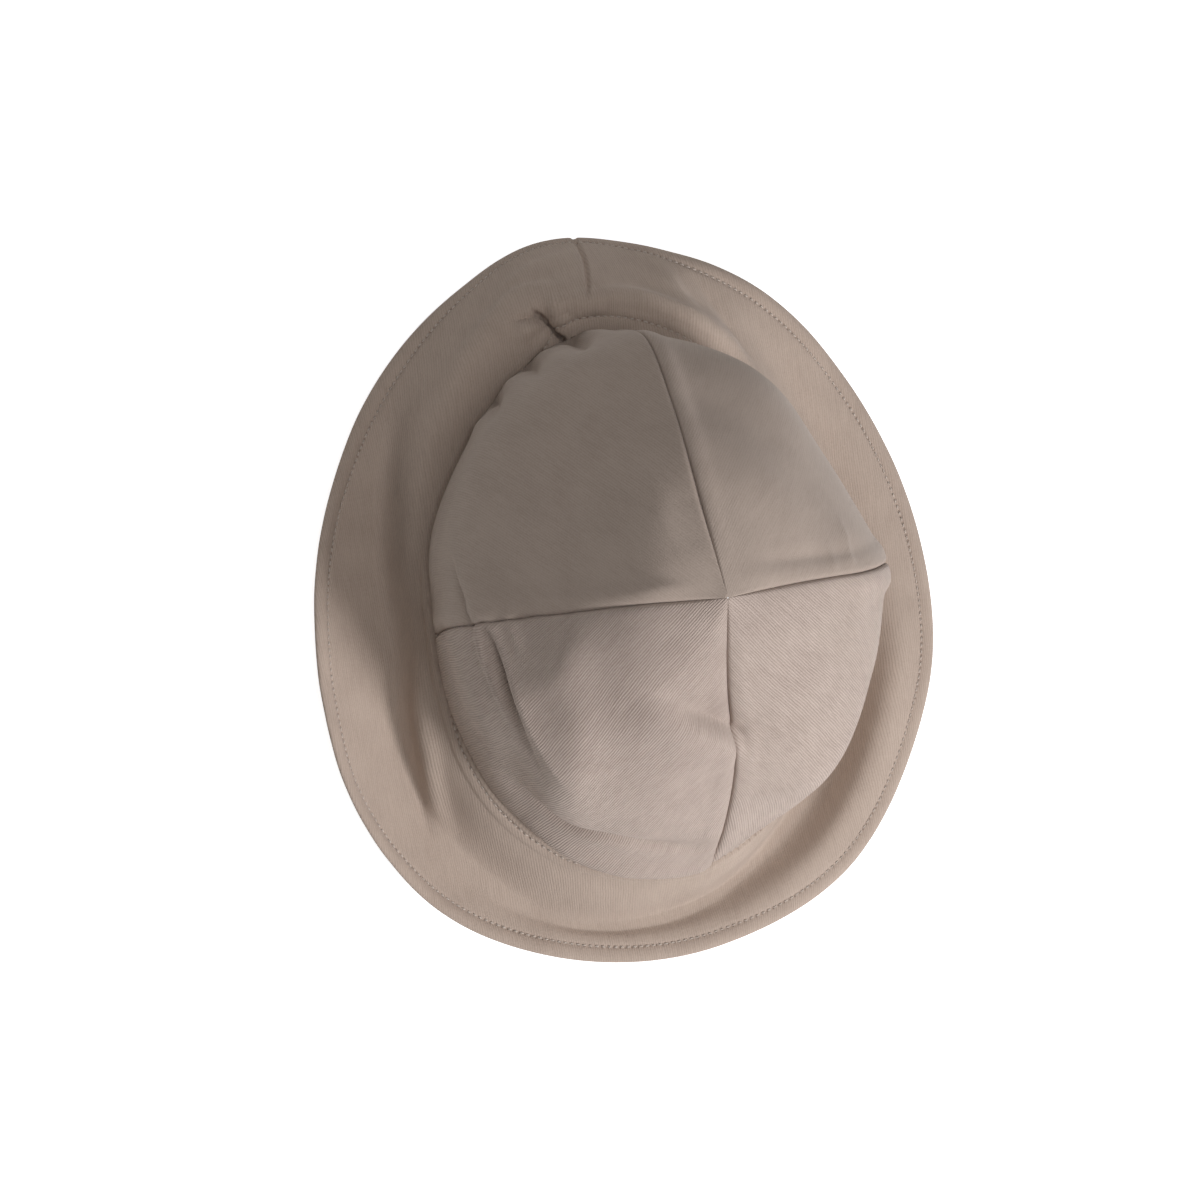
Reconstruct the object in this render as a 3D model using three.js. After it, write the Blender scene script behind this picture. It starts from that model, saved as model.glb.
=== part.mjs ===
// Sun hat of cotton jersey: a four-panel crown and a double brim, as it lies on a table.
// Units are millimetres, +Z is up, -Y is the hat's front and +Y its back.
// The origin is on the table, under the middle of the hat.
import * as THREE from 'three';

// ---- Driving dimensions -------------------------------------------------------------------

const CROWN_CLOTH = 1.6;      // wall of a crown panel with its turned seam allowances
const BRIM_CLOTH = 2.4;       // the brim's two layers of jersey
const SEAM_GAP = 0.4;         // between neighbouring crown panels
const FOOT_GAP = 0.4;         // between the foot of the crown and the brim
const APEX_STOP = 0.06;       // share of the last level left open where the four points meet
const TABLE_SNAP = 0.5;       // cloth closer to the table than this lies flat on it
const APEX = [4.4, -1.1, 118];
const CENTRE = [0.31, -0.24];   // middle of the hat's footprint, moved to the origin

// Cloth sections, one row for each direction seen from above (degrees, 0 = right, 90 = back).
// Every pair is [distance from the hat's axis, height above the table].
const BRIM_LEVELS = ['base', 'shelf', 'gutter', 'roll', 'rim'];
const BRIM_SECTIONS = [
  { angle: 2, base: [63, 20], shelf: [70, 14], gutter: [79, 5.5], roll: [90, 6.5], rim: [103.4, 4.8] },
  { angle: 32, base: [66, 22], shelf: [73, 18], gutter: [82, 9.5], roll: [92, 8], rim: [103.7, 6.8] },
  { angle: 60, base: [76.5, 25], shelf: [87, 25], gutter: [94, 19], roll: [102, 15], rim: [110, 12.5] },
  { angle: 88, base: [84.5, 27], shelf: [95, 30], gutter: [104, 22], roll: [111, 11.5], rim: [116.3, 0.2] },
  { angle: 108, base: [80.5, 26], shelf: [95, 27], gutter: [102, 18], roll: [107.5, 10], rim: [110.9, 5] },
  { angle: 130, base: [71.5, 23], shelf: [84, 22], gutter: [93, 14], roll: [99, 11.5], rim: [105.2, 11] },
  { angle: 155, base: [66.5, 20], shelf: [73, 16], gutter: [81, 6], roll: [93, 9.5], rim: [100.9, 14] },
  { angle: 181, base: [64.4, 18], shelf: [68, 12.5], gutter: [76, 3], roll: [92, 9], rim: [102.3, 15.5] },
  { angle: 205, base: [69, 17], shelf: [75, 12], gutter: [86, 0.7], roll: [102.5, 8.5], rim: [109.3, 14.5] },
  { angle: 229, base: [78, 17], shelf: [84.8, 11], gutter: [96, 0.7], roll: [108, 3], rim: [116.2, 7] },
  { angle: 253, base: [86.4, 17], shelf: [92.5, 11.2], gutter: [105, 0.7], roll: [110.5, 2.8], rim: [117.4, 4] },
  { angle: 277, base: [89.5, 17], shelf: [94.8, 11.2], gutter: [101.5, 0.7], roll: [109.8, 4], rim: [117.9, 4.2] },
  { angle: 303, base: [81, 18], shelf: [85, 10], gutter: [90.5, 1], roll: [109, 6], rim: [116.9, 5.5] },
  { angle: 334, base: [70, 19], shelf: [77, 10], gutter: [85, 2], roll: [97, 6], rim: [109.1, 4.4] },
];

// The crown starts on the brim's base ring. lean turns a section's upper levels, in degrees.
const CROWN_LEVELS = ['wall', 'shoulder', 'slope', 'top'];
const LEAN_SHARE = { wall: 0.5, shoulder: 0.8, slope: 1, top: 1 };
const CROWN_SECTIONS = [
  { lean: -4, wall: [70, 45], shoulder: [71, 66], slope: [55, 91], top: [32, 108] },
  { lean: -3, wall: [68.5, 47], shoulder: [65.5, 69], slope: [51, 91], top: [29.5, 109] },
  { lean: -2, wall: [76, 50], shoulder: [73.5, 71], slope: [56, 92], top: [31, 110] },
  { lean: -2, wall: [83, 52], shoulder: [80, 74], slope: [62, 93], top: [36, 111] },
  { lean: -2, wall: [80.5, 48], shoulder: [76, 71], slope: [56, 91], top: [31, 110] },
  { lean: -3, wall: [74, 44], shoulder: [70, 68], slope: [48.5, 89.5], top: [25.5, 110.5] },
  { lean: -4, wall: [69.5, 43], shoulder: [65.5, 67], slope: [43.5, 89], top: [21, 110] },
  { lean: -4, wall: [66, 41], shoulder: [64.5, 68], slope: [42.5, 92.5], top: [20.5, 110.5] },
  { lean: -2, wall: [68.5, 39], shoulder: [66.5, 66], slope: [47, 91.5], top: [21.5, 110.5] },
  { lean: 0, wall: [73.5, 38], shoulder: [67.5, 66], slope: [48.5, 91.5], top: [23, 110] },
  { lean: 1, wall: [79.5, 38], shoulder: [66.5, 66.5], slope: [48.5, 90], top: [24, 108.5] },
  { lean: 2, wall: [80.5, 38], shoulder: [65, 65], slope: [48, 87], top: [25, 105] },
  { lean: 0, wall: [81.5, 39], shoulder: [74.5, 63], slope: [51, 88], top: [26.5, 106] },
  { lean: -3, wall: [73, 43], shoulder: [69.5, 65], slope: [51.5, 89], top: [29, 107] },
];

// Panels run from one seam's section to the next. detail is the columns between two sections.
const PANELS = [
  { name: 'crown_back_right', first: 0, last: 3, detail: 5 },
  { name: 'crown_back_left', first: 3, last: 7, detail: 6 },
  { name: 'crown_front_left', first: 7, last: 11, detail: 5 },
  { name: 'crown_front_right', first: 11, last: 14, detail: 5 },
];
const CROWN_ROWS = 16;
const BRIM_DETAIL = 5;
const BRIM_ROWS = 12;

// Folds and dents. A knot is [angle, level, height]: level counts the sections' columns from
// the base, and height is how far the cloth stands proud, or sinks where it is negative.
const CROWN_FOLDS = [
  { name: 'crease over the left wall', width: 5, knots: [[160, 1.5, -0.8], [178, 2, -1.8]] },
  { name: 'gather under the left seam', width: 4.5, knots: [[184, 2.3, 2], [205, 2.4, 1.6], [220, 2.1, 0.5]] },
  { name: 'diagonal ridge to the front seam', width: 6, knots: [[228, 3.6, 0.4], [255, 3.5, 1.6], [275, 3.2, 1.8]] },
  { name: 'dimple in the front seam', width: 5, knots: [[279, 3.2, -1.8]] },
  { name: 'hollow in the back left panel', width: 22, knots: [[150, 3.1, -2.2], [125, 3.5, -2.2]] },
  { name: 'lip of the right corner', width: 5, knots: [[357, 3.1, 0.8], [355, 2, 1.8]] },
  { name: 'dent behind the right seam', width: 6, knots: [[14, 4, -1.5], [10, 3.3, -1.8], [7, 2.4, -1.2]] },
  { name: 'pucker by the back seam', width: 5, knots: [[98, 0.5, -2.4], [99, 1.1, -1.2]] },
  { name: 'second pucker', width: 5, knots: [[108, 0.5, -2.2], [108.5, 1.1, -1.2]] },
  { name: 'third pucker', width: 5, knots: [[118, 0.5, -2], [118.5, 1.1, -1]] },
];
const BRIM_FOLDS = [
  { name: 'gathered pleat', width: 4, knots: [[98, 0.55, -3.2], [99, 0.9, -2], [101, 1.3, -0.6]] },
  { name: 'left edge of the turned-down back', width: 6, knots: [[91, 2.4, 1.2], [102, 1.4, 1.6], [112, 1.1, 0.8]] },
  { name: 'right edge of the turned-down back', width: 6, knots: [[73, 3, 0.6], [68, 2.2, 1.6], [64, 1.2, 1.2]] },
  { name: 'crease right of it', width: 5, knots: [[66, 2.8, -0.8], [60, 2, -1.6], [54, 1.3, -1]] },
  { name: 'swell at the front right', width: 6, knots: [[292, 2.8, 2], [305, 2.75, 3.2], [320, 2.8, 3.2], [336, 2.9, 1.8]] },
];
const CROWN_LEVEL_LENGTH = 27;   // cloth between two crown levels, for measuring along a fold
const BRIM_LEVEL_LENGTH = 12;

// ---- Surface maths ------------------------------------------------------------------------

const toPoint = (angle, [radius, height]) => {
  const turn = THREE.MathUtils.degToRad(angle);
  return new THREE.Vector3(radius * Math.cos(turn) - CENTRE[0], radius * Math.sin(turn) - CENTRE[1], height);
};

const smoothCurve = (points, closed) => new THREE.CatmullRomCurve3(points, closed, 'catmullrom', 0.5);

const brimProfiles = BRIM_SECTIONS.map((section) =>
  smoothCurve(BRIM_LEVELS.map((level) => toPoint(section.angle, section[level])), false));

const apexPoint = new THREE.Vector3(APEX[0] - CENTRE[0], APEX[1] - CENTRE[1], APEX[2]);
const crownProfiles = CROWN_SECTIONS.map((section, row) => {
  const { angle, base } = BRIM_SECTIONS[row];
  const upper = CROWN_LEVELS.map((level) => toPoint(angle + section.lean * LEAN_SHARE[level], section[level]));
  return smoothCurve([toPoint(angle, base), ...upper, apexPoint], false);
});

const SECTION_COUNT = BRIM_SECTIONS.length;
const BRIM_SPAN = BRIM_LEVELS.length - 1;
const CROWN_SPAN = CROWN_LEVELS.length + 1;

// The direction, in degrees, at a place counted in sections round the hat.
function angleAt(place) {
  const row = Math.floor(place);
  const start = BRIM_SECTIONS[row % SECTION_COUNT].angle;
  const end = BRIM_SECTIONS[(row + 1) % SECTION_COUNT].angle;
  const step = THREE.MathUtils.euclideanModulo(end - start, 360);
  return start + step * (place - row);
}

// Distance in millimetres from (angle, level) to a fold's knots, with the height at the nearest point.
function nearestOnFold(knots, angle, level, perDegree, perLevel) {
  const flat = knots.map(([a, l, h]) => {
    const turn = THREE.MathUtils.euclideanModulo(a - angle + 180, 360) - 180;
    return { x: turn * perDegree, y: (l - level) * perLevel, h };
  });
  let best = { distance: Math.hypot(flat[0].x, flat[0].y), height: flat[0].h };
  for (let i = 1; i < flat.length; i++) {
    const [a, b] = [flat[i - 1], flat[i]];
    const [dx, dy] = [b.x - a.x, b.y - a.y];
    const t = THREE.MathUtils.clamp(-(a.x * dx + a.y * dy) / (dx * dx + dy * dy), 0, 1);
    const distance = Math.hypot(a.x + dx * t, a.y + dy * t);
    if (distance < best.distance) best = { distance, height: a.h + (b.h - a.h) * t };
  }
  return best;
}

function foldHeight(folds, point, angle, level, perLevel) {
  const perDegree = THREE.MathUtils.degToRad(Math.hypot(point.x + CENTRE[0], point.y + CENTRE[1]));
  return folds.reduce((sum, { width, knots }) => {
    const { distance, height } = nearestOnFold(knots, angle, level, perDegree, perLevel);
    return sum + height * Math.exp(-((distance / width) ** 2));
  }, 0);
}

// Unit normals of a grid of points, pointing out of the hat. grid[column][row].
function gridNormals(grid, closed) {
  const columns = grid.length;
  return grid.map((column, i) => column.map((_, j) => {
    const before = closed ? (i + columns - 1) % columns : Math.max(i - 1, 0);
    const after = closed ? (i + 1) % columns : Math.min(i + 1, columns - 1);
    const around = grid[after][j].clone().sub(grid[before][j]);
    const up = column[Math.min(j + 1, column.length - 1)].clone().sub(column[Math.max(j - 1, 0)]);
    return around.cross(up).normalize();
  }));
}

const shifted = (grid, normals, offset) => grid.map((column, i) => column.map((point, j) => {
  const moved = point.clone().addScaledVector(normals[i][j], offset(i, j));
  if (moved.z < TABLE_SNAP) moved.z = 0;
  return moved;
}));

// A closed solid between an outer and an inner grid of points.
function clothSolid(outer, inner, closed) {
  const columns = outer.length;
  const rows = outer[0].length;
  const positions = [outer, inner].flatMap((grid) => grid.flatMap((column) => column.flatMap((p) => p.toArray())));
  const at = (side, i, j) => (side * columns + (i % columns)) * rows + j;
  const index = [];
  const quad = (a, b, c, d) => index.push(a, b, c, a, c, d);
  const spans = closed ? columns : columns - 1;
  for (let i = 0; i < spans; i++) {
    for (let j = 0; j < rows - 1; j++) {
      quad(at(0, i, j), at(0, i + 1, j), at(0, i + 1, j + 1), at(0, i, j + 1));
      quad(at(1, i, j), at(1, i, j + 1), at(1, i + 1, j + 1), at(1, i + 1, j));
    }
    quad(at(1, i, 0), at(1, i + 1, 0), at(0, i + 1, 0), at(0, i, 0));
    quad(at(0, i, rows - 1), at(0, i + 1, rows - 1), at(1, i + 1, rows - 1), at(1, i, rows - 1));
  }
  for (let j = 0; !closed && j < rows - 1; j++) {
    quad(at(0, 0, j), at(0, 0, j + 1), at(1, 0, j + 1), at(1, 0, j));
    quad(at(0, columns - 1, j), at(1, columns - 1, j), at(1, columns - 1, j + 1), at(0, columns - 1, j + 1));
  }
  const geometry = new THREE.BufferGeometry();
  geometry.setAttribute('position', new THREE.Float32BufferAttribute(positions, 3));
  geometry.setIndex(index);
  geometry.computeVertexNormals();
  return geometry;
}

// ---- Crown --------------------------------------------------------------------------------

// The level at which each section of the crown starts, so that its foot clears the brim,
// which slopes away from it at the front and sides and rises from it at the back.
const footLevels = brimProfiles.map((profile, row) => {
  const { x, y, z } = profile.getTangent(0);
  const rise = z / Math.hypot(x, y);
  const steepness = Math.hypot(1, rise);
  const brimFace = rise > 0 ? steepness * BRIM_CLOTH + rise * CROWN_CLOTH : BRIM_CLOTH / steepness;
  const clearance = brimFace / 2 + FOOT_GAP;
  return clearance / (CROWN_SECTIONS[row].wall[1] - BRIM_SECTIONS[row].base[1]);
});

function levelAt(foot, share) {
  return foot + (CROWN_SPAN - APEX_STOP - foot) * share;
}

// One row of a panel's points. Low down the crown is one smooth ring; towards the top each
// panel bends on its own, which leaves a ridge along every seam.
function panelRow(panel, share) {
  const points = crownProfiles.map((profile, row) =>
    profile.getPoint(levelAt(footLevels[row], share) / CROWN_SPAN));
  const ring = smoothCurve(points, true);
  const rows = panel.last - panel.first;
  const own = smoothCurve(
    Array.from({ length: rows + 1 }, (_, k) => points[(panel.first + k) % SECTION_COUNT]), false);
  const level = levelAt(footLevels[panel.first], share);
  const ownShare = THREE.MathUtils.smoothstep(level, 0, 2);
  const inset = SEAM_GAP / 2 / own.getLength();
  const columns = rows * panel.detail;
  return Array.from({ length: columns + 1 }, (_, i) => {
    const along = inset + (1 - 2 * inset) * (i / columns);
    const place = panel.first + rows * along;
    const point = ring.getPoint((place / SECTION_COUNT) % 1).lerp(own.getPoint(along), ownShare);
    const height = foldHeight(CROWN_FOLDS, point, angleAt(place), level, CROWN_LEVEL_LENGTH);
    return { point, height };
  });
}

function panelSurface(panel) {
  const rows = Array.from({ length: CROWN_ROWS + 1 }, (_, j) => panelRow(panel, j / CROWN_ROWS));
  const columns = rows[0].map((_, i) => rows.map((row) => row[i]));
  return {
    grid: columns.map((column) => column.map(({ point }) => point)),
    heights: columns.map((column) => column.map(({ height }) => height)),
  };
}

// Normals of the four panels. Both panels of a seam share the normal along it, so that
// their walls meet edge to edge.
function crownNormals(grids) {
  const normals = grids.map((grid) => gridNormals(grid, false));
  normals.forEach((before, k) => {
    const after = normals[(k + 1) % normals.length];
    before[before.length - 1].forEach((normal, j) => {
      normal.add(after[0][j]).normalize();
      after[0][j].copy(normal);
    });
  });
  return normals;
}

// ---- Brim ---------------------------------------------------------------------------------

function brimGrid() {
  const columns = SECTION_COUNT * BRIM_DETAIL;
  const levels = Array.from({ length: BRIM_ROWS + 1 }, (_, j) => BRIM_SPAN * (j / BRIM_ROWS));
  const rings = levels.map((level) =>
    smoothCurve(brimProfiles.map((profile) => profile.getPoint(level / BRIM_SPAN)), true));
  // Rows are listed from the rim inwards, so that the normals point up.
  const grid = Array.from({ length: columns }, (_, i) =>
    [...rings].reverse().map((ring) => ring.getPoint(i / columns)));
  const normals = gridNormals(grid, true);
  return grid.map((column, i) => column.map((point, j) => {
    const level = levels[levels.length - 1 - j];
    const height = foldHeight(BRIM_FOLDS, point, angleAt(i / BRIM_DETAIL), level, BRIM_LEVEL_LENGTH);
    return point.clone().addScaledVector(normals[i][j], height);
  }));
}

// ---- The hat ------------------------------------------------------------------------------

const jersey = (colour) => new THREE.MeshStandardMaterial({ color: colour, roughness: 0.95, metalness: 0 });

const hat = new THREE.Group();

const surfaces = PANELS.map(panelSurface);
const smoothNormals = crownNormals(surfaces.map(({ grid }) => grid));
const foldedGrids = surfaces.map(({ grid, heights }, k) =>
  shifted(grid, smoothNormals[k], (i, j) => heights[i][j]));
const foldedNormals = crownNormals(foldedGrids);
PANELS.forEach((panel, k) => {
  const outer = shifted(foldedGrids[k], foldedNormals[k], () => CROWN_CLOTH / 2);
  const inner = shifted(foldedGrids[k], foldedNormals[k], () => -CROWN_CLOTH / 2);
  const mesh = new THREE.Mesh(clothSolid(outer, inner, false), jersey(0xb3a296));
  mesh.name = panel.name;
  hat.add(mesh);
});

const brim = brimGrid();
const brimNormals = gridNormals(brim, true);
const brimMesh = new THREE.Mesh(
  clothSolid(
    shifted(brim, brimNormals, () => BRIM_CLOTH / 2),
    shifted(brim, brimNormals, () => -BRIM_CLOTH / 2),
    true),
  jersey(0xb09f92));
brimMesh.name = 'brim';
hat.add(brimMesh);

export default hat;
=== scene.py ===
"""A small child's sun hat of brushed cotton jersey, lying on a table.

Four crown panels are sewn to a double, topstitched brim, which lies nearly flat at the front and
the right, with a low lip, is turned up at the left and turned down at the back. Shapes are worked
out in millimetres round the hat's own axis, from one table of sections, and turned into metres in
the frame's axes as meshes are made.
"""
import logging
import math
from dataclasses import dataclass, field
from enum import Enum
from typing import NamedTuple, Union

import bpy
import numpy as np
from mathutils import Matrix


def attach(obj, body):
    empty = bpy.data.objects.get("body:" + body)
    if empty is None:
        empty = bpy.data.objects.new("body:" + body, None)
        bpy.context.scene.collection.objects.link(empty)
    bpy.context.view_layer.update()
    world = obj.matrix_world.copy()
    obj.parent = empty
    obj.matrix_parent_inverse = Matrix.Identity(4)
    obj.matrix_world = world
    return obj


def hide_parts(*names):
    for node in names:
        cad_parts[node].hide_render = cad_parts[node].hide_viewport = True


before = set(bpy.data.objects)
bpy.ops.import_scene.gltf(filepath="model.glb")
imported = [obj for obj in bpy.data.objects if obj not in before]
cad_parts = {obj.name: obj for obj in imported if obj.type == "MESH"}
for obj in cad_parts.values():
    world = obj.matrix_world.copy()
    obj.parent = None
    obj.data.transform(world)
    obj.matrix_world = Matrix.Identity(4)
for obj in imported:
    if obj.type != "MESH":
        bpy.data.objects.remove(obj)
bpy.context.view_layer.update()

BODY = "root"
MILLIMETRE = 0.001
CENTRE = np.array([0.31, -0.24, 0.0])   # the frame's origin, seen from the hat's axis
APEX = np.array([4.4, -1.1, 118.0])     # where the four panels meet
TABLE_CLEARANCE = 0.05                  # mm between the lowest cloth and the table
RIM_STITCH = 2.1                        # mm between needle holes near the rim
FOOT_STITCH = 2.3                       # mm between needle holes beside the crown
FOLD_STEPS = 6                          # points of a fold's line from one knot to the next
CRISP_TIP = 0.15                        # how far a crisp crease's edge is rounded, in its widths
TINY = 1e-9                             # the least length that anything is divided by
log = logging.getLogger("sun_hat")

Array = np.ndarray
Tree = bpy.types.NodeTree
Node = bpy.types.Node
Source = Union[Node, bpy.types.NodeSocket]    # what can feed a node
Pair = tuple[float, float]


# ---- The hat's shape -----------------------------------------------------------------------

class Section(NamedTuple):
    """One section of the hat, cut from its axis outwards.

    angle is its direction in degrees, 0 at the hat's right and 90 at its back. Every pair is the
    distance from the axis and the height above the table. base to rim lie on the brim, and wall
    to top on the crown above the base. lean turns the crown's upper points, in degrees.
    """

    angle: float
    base: Pair
    shelf: Pair
    gutter: Pair
    roll: Pair
    rim: Pair
    lean: float
    wall: Pair
    shoulder: Pair
    slope: Pair
    top: Pair


SECTIONS = (
    Section(2, (63, 20), (70, 14), (79, 5.5), (90, 6.5), (103.4, 4.8), -4,
            (70, 45), (71, 66), (55, 91), (32, 108)),
    Section(32, (66, 22), (73, 18), (82, 9.5), (92, 8), (103.7, 6.8), -3,
            (68.5, 47), (65.5, 69), (51, 91), (29.5, 109)),
    Section(60, (76.5, 25), (87, 25), (94, 19), (102, 15), (110, 12.5), -2,
            (76, 50), (73.5, 71), (56, 92), (31, 110)),
    Section(88, (84.5, 27), (95, 30), (104, 22), (111, 11.5), (116.3, 0.2), -2,
            (83, 52), (80, 74), (62, 93), (36, 111)),
    Section(108, (80.5, 26), (95, 27), (102, 18), (107.5, 10), (110.9, 5), -2,
            (80.5, 48), (76, 71), (56, 91), (31, 110)),
    Section(130, (71.5, 23), (84, 22), (93, 14), (99, 11.5), (105.2, 11), -3,
            (74, 44), (70, 68), (48.5, 89.5), (25.5, 110.5)),
    Section(155, (66.5, 20), (73, 16), (81, 6), (93, 9.5), (100.9, 14), -4,
            (69.5, 43), (65.5, 67), (43.5, 89), (21, 110)),
    Section(181, (64.4, 18), (68, 12.5), (76, 3), (92, 9), (102.3, 15.5), -4,
            (66, 41), (64.5, 68), (42.5, 92.5), (20.5, 110.5)),
    Section(205, (69, 17), (75, 12), (86, 0.7), (102.5, 8.5), (109.3, 14.5), -2,
            (68.5, 39), (66.5, 66), (47, 91.5), (21.5, 110.5)),
    Section(229, (78, 17), (84.8, 11), (96, 0.7), (108, 3), (116.2, 7), 0,
            (73.5, 38), (67.5, 66), (48.5, 91.5), (23, 110)),
    Section(253, (86.4, 17), (92.5, 11.2), (105, 0.7), (110.5, 2.8), (117.4, 4), 1,
            (79.5, 38), (66.5, 66.5), (48.5, 90), (24, 108.5)),
    Section(277, (89.5, 17), (94.8, 11.2), (101.5, 0.7), (109.8, 4), (117.9, 4.2), 2,
            (80.5, 38), (65, 65), (48, 87), (25, 105)),
    Section(303, (81, 18), (85, 10), (90.5, 1), (109, 6), (116.9, 5.5), 0,
            (81.5, 39), (74.5, 63), (51, 88), (26.5, 106)),
    Section(334, (70, 19), (77, 10), (85, 2), (97, 6), (109.1, 4.4), -3,
            (73, 43), (69.5, 65), (51.5, 89), (29, 107)),
)
BRIM_LEVELS = ("base", "shelf", "gutter", "roll", "rim")
BRIM_SPAN = len(BRIM_LEVELS) - 1
LEAN_SHARE = {"wall": 0.5, "shoulder": 0.8, "slope": 1.0, "top": 1.0}   # by the crown's levels
CROWN_SPAN = len(LEAN_SHARE) + 1


class Crest(Enum):
    """How a fold's back is shaped, with how many widths it takes to die away."""

    SOFT = 2.6      # a rounded swell
    CRISP = 5.0     # a pressed crease


class Fold(NamedTuple):
    """A fold or dent along a line of knots.

    A knot is (angle in degrees, level, height in mm), and a negative height sinks. near and far
    are the widths in mm left and right of the line, seen from outside the hat and going from the
    first knot to the last.
    """

    near: float
    far: float
    knots: tuple[tuple[float, float, float], ...]
    crest: Crest = Crest.SOFT


CROWN_FOLDS = (
    # left wall, behind and in front of the left seam
    Fold(5, 2.2, ((160, 1.7, 0), (167, 1.9, 0.7), (174, 2.12, 1.2), (181, 2.3, 0.9))),
    Fold(1.1, 3.4, ((162, 1.58, 0), (171, 1.86, -1.7), (179, 2.05, -2.1),
                    (184, 2.15, -0.6)), Crest.CRISP),
    Fold(1.9, 1.9, ((181, 2.15, 1.2), (190, 2.2, 2.5), (200, 2.22, 2.1), (211, 2.14, 0))),
    Fold(6, 1.7, ((183, 2.36, 1.2), (193, 2.44, 2.7), (204, 2.48, 3.1), (215, 2.4, 2.5), (225, 2.28, 1.2),
                  (235, 2.1, 0)), Crest.CRISP),
    Fold(1.4, 2.6, ((184, 2.29, -1.0), (194, 2.34, -1.9), (205, 2.34, -2.1), (216, 2.2, -1.5),
                    (228, 2, 0))),
    Fold(2.2, 2.2, ((181, 2.54, 1.4), (187, 2.6, 1.3), (196, 2.68, 0))),
    Fold(1.8, 1.8, ((182, 2.78, -0.5), (190, 2.84, -0.4), (200, 2.86, 0))),
    # front left panel: its rounded corner, the diagonal to the front seam, and the fullness at its foot
    Fold(8, 10, ((200, 3.15, 0), (216, 2.95, 1.6), (227, 2.5, 2.8), (236, 1.8, 2.2), (242, 1.05, 0.4))),
    Fold(7, 7, ((182, 3.25, 0.6), (192, 3.2, 1.8), (202, 3.05, 1.6), (211, 2.9, 0))),
    Fold(8, 9, ((184, 2.5, -0.6), (194, 2.4, -1.8), (204, 2.2, -2.2), (212, 1.95, -2.2), (220, 1.6, -2.4),
                (227, 1.0, -1.6))),
    Fold(3.4, 9, ((228, 3.45, 0), (242, 3.46, 1.6), (256, 3.38, 2.8), (268, 3.24, 3.0),
                  (275, 3.06, 2.2))),
    Fold(7, 3.0, ((234, 3.75, 0), (250, 3.68, -1.6), (268, 3.5, -2.1), (276, 3.28, -1.3))),
    Fold(2.4, 2.0, ((277, 3.26, -1.3), (270, 3.4, -1.4), (258, 3.55, -0.9), (246, 3.66, 0)), Crest.CRISP),
    Fold(1.5, 1.5, ((236, 2.7, 0), (244, 2.5, -0.35), (251, 2.2, 0)), Crest.CRISP),
    Fold(6, 7, ((222, 0.3, 0), (232, 0.42, 0.8), (244, 0.48, 3.4), (258, 0.48, 4.4), (273, 0.33, 2.6))),
    Fold(5, 2.4, ((226, 1.0, -0.5), (238, 1.05, -2.6), (250, 1.2, -3.0), (262, 1.12, -2.6),
                  (273, 0.9, -0.8))),
    # front right panel
    Fold(1.8, 1.8, ((279.5, 3.2, -1.0), (280.5, 3.05, -1.3), (281, 2.85, -0.3))),
    Fold(10, 4, ((288, 3.0, 0), (300, 2.85, 0.6), (318, 2.75, 0))),
    Fold(9, 9, ((330, 3.5, -0.8), (345, 3.2, -0.6))),
    Fold(5, 3, ((358, 3.15, 0.8), (357.5, 2.6, 1.6), (357, 2.0, 1.6), (354, 1.5, 0.4))),
    # back right panel
    Fold(3.5, 6, ((24, 4.45, 0), (16, 4.1, -0.9), (11, 3.6, -1.4), (8, 3.0, -1.2), (7, 2.3, -0.6))),
    Fold(2.5, 1.2, ((7, 3.12, 0.8), (15, 2.98, 0.7), (22, 2.85, 0)), Crest.CRISP),
    Fold(2.0, 1.2, ((7, 3.44, 0.6), (12, 3.4, 0.5), (17, 3.34, 0)), Crest.CRISP),
    Fold(12, 12, ((78, 2.95, -1.3), (60, 3.05, -1.0))),
    Fold(12, 8, ((76, 3.9, 0.8), (50, 3.8, 1.0), (30, 4.0, 0))),
    # back left panel
    Fold(20, 20, ((152, 3.1, -1.9), (128, 3.5, -2.1), (106, 3.75, -1.2))),
    Fold(4, 6, ((92, 3.9, -0.4), (94, 4.15, -0.9), (97, 4.4, -0.5))),
    Fold(7, 7, ((118, 4.55, 0.6), (165, 4.15, 0.8), (177, 3.6, 0.4))),
    Fold(9, 9, ((150, 1.7, 1.2), (135, 1.8, 0.8))),
    # puckers gathered into the back of the foot
    Fold(2.8, 2.8, ((95.6, 0.1, -3.0), (96.8, 0.7, -3.2), (98.6, 1.25, -2.2), (101, 1.75, 0))),
    Fold(2.4, 2.4, ((107, 0.1, -2.0), (108, 0.7, -2.2), (110.5, 1.2, -1.6), (113, 1.8, 0))),
    Fold(2.4, 2.4, ((118, 0.1, -1.8), (119.5, 0.7, -1.9), (122, 1.1, -1.1), (125, 1.6, 0))),
    Fold(3.2, 3.2, ((93, 0.15, 0.6), (93, 0.9, 1.4), (93, 1.6, 0.3))),
    Fold(3.2, 3.2, ((103, 0.15, 0.6), (104, 0.9, 1.7), (105, 1.6, 0.3))),
    Fold(3.2, 3.2, ((113, 0.15, 0.6), (115, 0.9, 1.6), (117, 1.6, 0.3))),
    Fold(4.0, 4.0, ((125, 0.15, 0.5), (127, 0.9, 1.2), (129, 1.6, 0.3))),
)
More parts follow.
